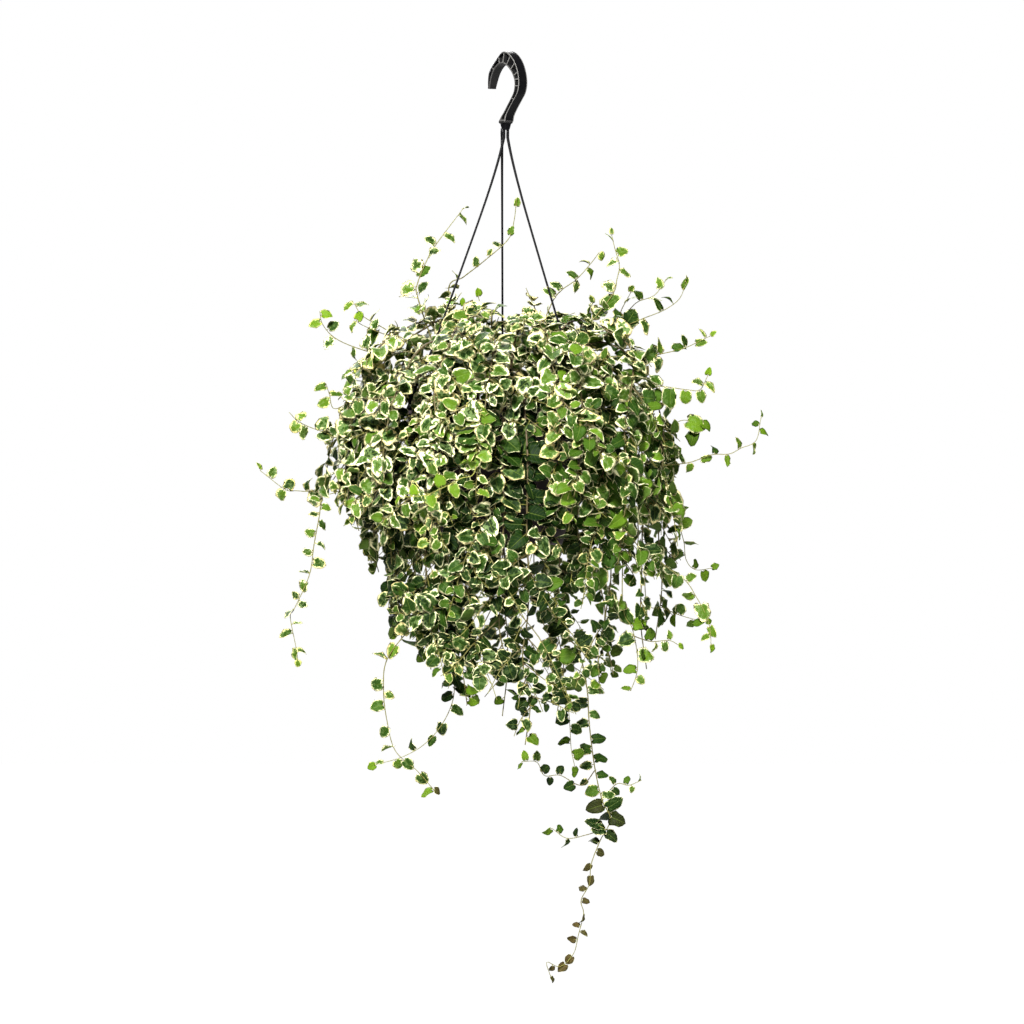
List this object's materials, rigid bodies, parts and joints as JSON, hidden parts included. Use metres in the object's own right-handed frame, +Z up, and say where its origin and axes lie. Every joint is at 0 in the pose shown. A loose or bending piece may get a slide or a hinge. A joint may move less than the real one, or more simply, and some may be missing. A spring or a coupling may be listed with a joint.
{
  "type": "potted creeping fig in a hanging pot",
  "caption": "Variegated creeping fig with cream-edged leaves, spilling from a dark plastic pot that hangs by straps from a moulded hook; stems trail free.",
  "frame": {"origin": "on the hook's inner saddle, where it bears on its rail", "axes": "+Z up along the hang line, -Y towards the viewer's side, +X to the viewer's right"},
  "size_m": [0.6159, 0.4298, 1.1172],
  "materials": {
    "hanger_plastic": "satin black moulding",
    "pot_plastic": "dark taupe, satin",
    "soil": "loose peat, matte",
    "leaves": "green blades with cream margins, satin",
    "young_leaves": "yellow-green young blades, satin"
  },
  "bodies": {
    "root": {"hanger_hook": "hanger_plastic", "strap_front_left": "hanger_plastic", "strap_back": "hanger_plastic", "strap_front_right": "hanger_plastic", "pot": "pot_plastic", "soil": "soil", "spray_up_left": "leaves", "spray_up_back": "leaves", "spray_left_high": "leaves", "spray_left_back": "leaves", "spray_left_mid": "leaves", "spray_left_low": "leaves", "spray_far_left": "leaves", "trail_left": "leaves", "trail_front_left": "leaves", "spray_right_high": "leaves", "spray_right_mid": "leaves", "spray_up_mid": "leaves", "spray_up_right": "leaves", "spray_right_back": "leaves", "spray_right_front": "leaves", "spray_right_rear": "leaves", "spray_far_right": "leaves", "trail_right_back": "leaves", "trail_right_low": "leaves", "trail_right_rear": "leaves", "trail_right_front": "leaves", "trail_long": "leaves", "trail_second": "leaves", "runner_front": "young_leaves", "sprig_top": "young_leaves", "curtain_left_a": "leaves", "curtain_left_b": "leaves", "curtain_front_a": "leaves", "curtain_front_b": "leaves", "curtain_front_c": "leaves", "curtain_front_d": "leaves", "curtain_right_a": "leaves", "curtain_left_c": "leaves", "curtain_back_a": "leaves", "curtain_back_b": "leaves", "curtain_back_c": "leaves", "curtain_back_d": "leaves", "curtain_right_b": "leaves", "shoulder_front_left": "leaves", "shoulder_front": "leaves", "shoulder_front_right": "leaves", "shoulder_right": "leaves", "shoulder_back_right": "leaves", "shoulder_back": "leaves", "shoulder_back_left": "leaves", "crown_a": "leaves", "crown_b": "leaves", "crown_c": "leaves", "crown_d": "leaves", "crown_e": "leaves", "crown_f": "leaves", "crown_g": "leaves", "crown_h": "leaves"}
  },
  "joints": []
}
